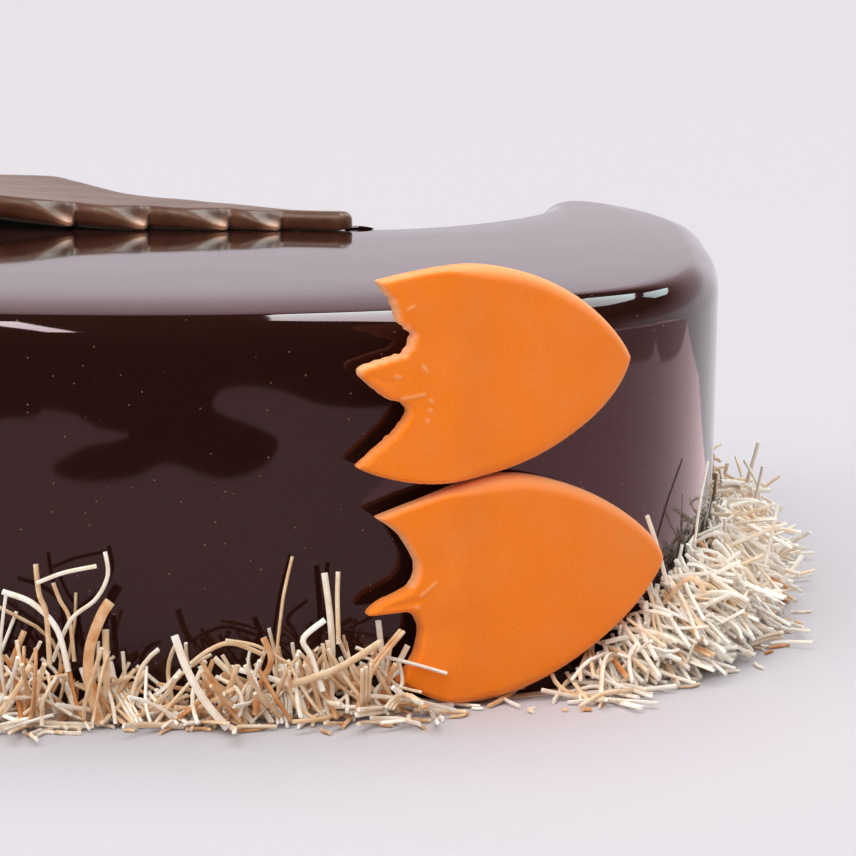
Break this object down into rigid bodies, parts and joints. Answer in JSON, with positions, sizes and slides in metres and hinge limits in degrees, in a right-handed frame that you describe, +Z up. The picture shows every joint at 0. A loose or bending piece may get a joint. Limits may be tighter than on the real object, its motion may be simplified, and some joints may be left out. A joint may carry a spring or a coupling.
{
  "type": "easter egg cake",
  "caption": "Egg-shaped chocolate cake under mirror glaze with a short tail, a chocolate wing on top, orange sugar-paste feet on its side and a shredded pastry nest round its foot.",
  "frame": {"origin": "middle of the underside, where the cake rests", "axes": "+Z up; +X along the cake, towards the end with the tail; -Y towards the side that carries the feet"},
  "size_m": [0.2466, 0.21, 0.0641],
  "materials": {
    "mirror_glaze": "dark chocolate mirror glaze, wet gloss",
    "modelling_chocolate": "rolled milk-chocolate paste, satin",
    "orange_paste": "rolled orange sugar paste, fine-grained matt",
    "toasted_pastry": "dry toasted pastry strands, matt"
  },
  "bodies": {
    "root": {"cake_body": "mirror_glaze", "wing": "modelling_chocolate", "foot_upper": "orange_paste", "foot_lower": "orange_paste", "pastry_nest": "toasted_pastry"}
  },
  "joints": []
}
